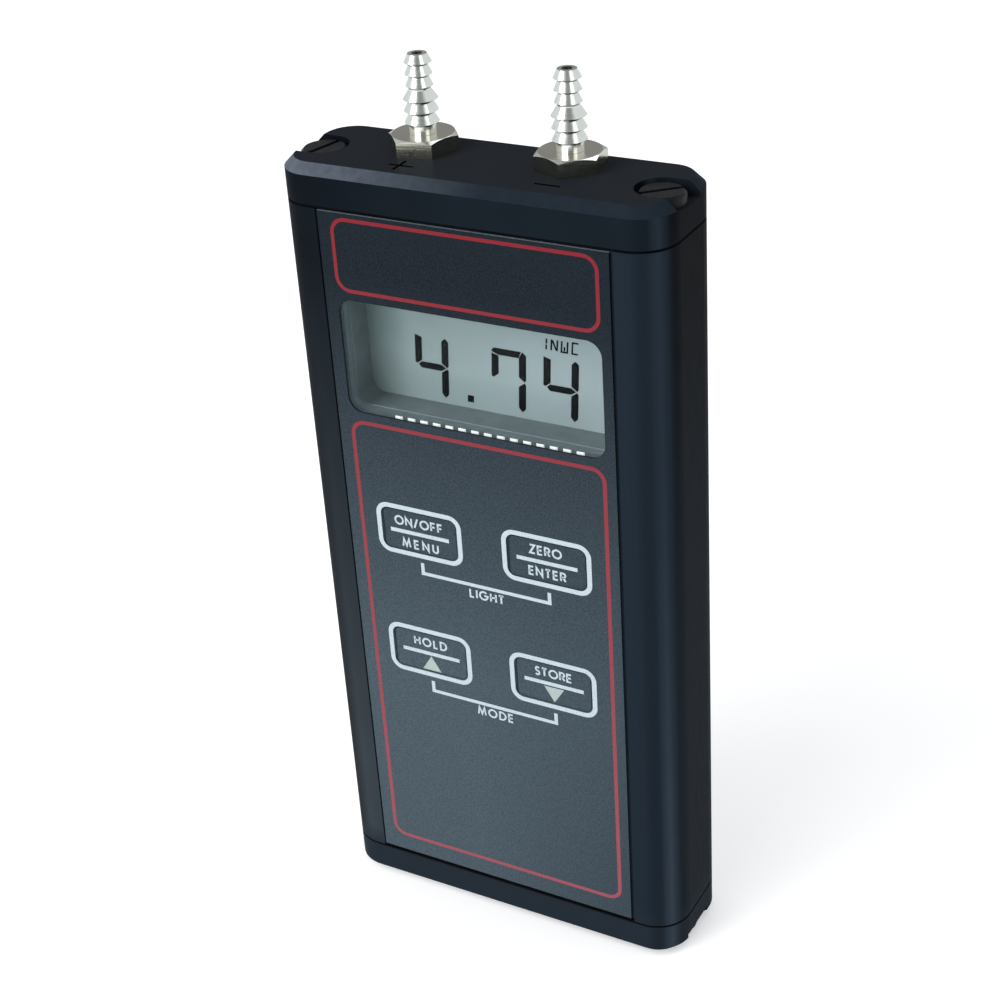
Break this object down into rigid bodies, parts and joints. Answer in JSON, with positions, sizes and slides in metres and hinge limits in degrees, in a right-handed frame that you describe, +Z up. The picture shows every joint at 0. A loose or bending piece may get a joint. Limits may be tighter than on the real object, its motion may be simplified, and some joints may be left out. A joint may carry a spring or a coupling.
{
  "type": "handheld digital manometer",
  "caption": "Handheld digital manometer in a tall flat metal case, with a liquid crystal display, a membrane keypad and two barbed pressure ports on top.",
  "frame": {"origin": "middle of the bottom face, on which the instrument stands", "axes": "+Z up along the case towards the pressure ports, +Y from the display towards the back, +X to the viewer's right"},
  "size_m": [0.075, 0.0234, 0.1732],
  "materials": {
    "anodised_case": "black anodised aluminium, satin, faint blue tint",
    "anodised_cap": "black anodised aluminium, satin",
    "gasket": "matt black",
    "printed_film": "fine-grained printed film",
    "clear_window": "clear",
    "board": "green solder mask",
    "holder_plastic": "moulded, grey-green",
    "display_glass": "liquid crystal glass, grey-green",
    "diffuser": "milky white",
    "tinned_pins": "bright tin",
    "plated_brass": "nickel plated, satin",
    "silicone": "translucent white silicone",
    "sensor_plastic": "moulded black",
    "battery_shell": "plain jacket",
    "snap_rubber": "matt black",
    "red_wire": "insulated wire",
    "black_wire": "insulated wire",
    "foam": "closed-cell foam",
    "chip_plastic": "moulded black",
    "crystal_metal": "metal can",
    "capacitor_sleeve": "dark sleeve",
    "switch_plastic": "moulded black",
    "plunger_plastic": "moulded grey",
    "blackened_steel": "blackened, bare at the edges"
  },
  "bodies": {
    "case": {"case_body": "anodised_case", "top_cap": "anodised_cap", "bottom_cap": "anodised_cap", "top_gasket": "gasket", "bottom_gasket": "gasket", "front_film": "printed_film", "display_window": "clear_window", "circuit_board": "board", "display_holder": "holder_plastic", "display_glass": "display_glass", "backlight": "diffuser", "display_pins": "tinned_pins", "high_pressure_port": "plated_brass", "low_pressure_port": "plated_brass", "high_pressure_seal": "gasket", "low_pressure_seal": "gasket", "high_pressure_tube": "silicone", "low_pressure_tube": "silicone", "pressure_sensor": "sensor_plastic", "battery": "battery_shell", "battery_snap": "snap_rubber", "red_battery_lead": "red_wire", "black_battery_lead": "black_wire", "battery_foam": "foam", "processor_chip": "chip_plastic", "amplifier_chip": "chip_plastic", "clock_crystal": "crystal_metal", "filter_capacitors": "capacitor_sleeve", "upper_left_switch": "switch_plastic", "upper_right_switch": "switch_plastic", "lower_left_switch": "switch_plastic", "lower_right_switch": "switch_plastic", "top_left_screw": "blackened_steel", "top_right_screw": "blackened_steel", "bottom_left_screw": "blackened_steel", "bottom_right_screw": "blackened_steel"},
    "upper_left_plunger": {"upper_left_plunger": "plunger_plastic"},
    "upper_right_plunger": {"upper_right_plunger": "plunger_plastic"},
    "lower_left_plunger": {"lower_left_plunger": "plunger_plastic"},
    "lower_right_plunger": {"lower_right_plunger": "plunger_plastic"}
  },
  "joints": [
    {"name": "upper_left_press", "type": "slide", "parent": "case", "child": "upper_left_plunger", "axis": [0, 1, 0], "range_m": [0, 0.00025], "stiffness_N_per_m": 4000},
    {"name": "upper_right_press", "type": "slide", "parent": "case", "child": "upper_right_plunger", "axis": [0, 1, 0], "range_m": [0, 0.00025], "stiffness_N_per_m": 4000},
    {"name": "lower_left_press", "type": "slide", "parent": "case", "child": "lower_left_plunger", "axis": [0, 1, 0], "range_m": [0, 0.00025], "stiffness_N_per_m": 4000},
    {"name": "lower_right_press", "type": "slide", "parent": "case", "child": "lower_right_plunger", "axis": [0, 1, 0], "range_m": [0, 0.00025], "stiffness_N_per_m": 4000}
  ]
}
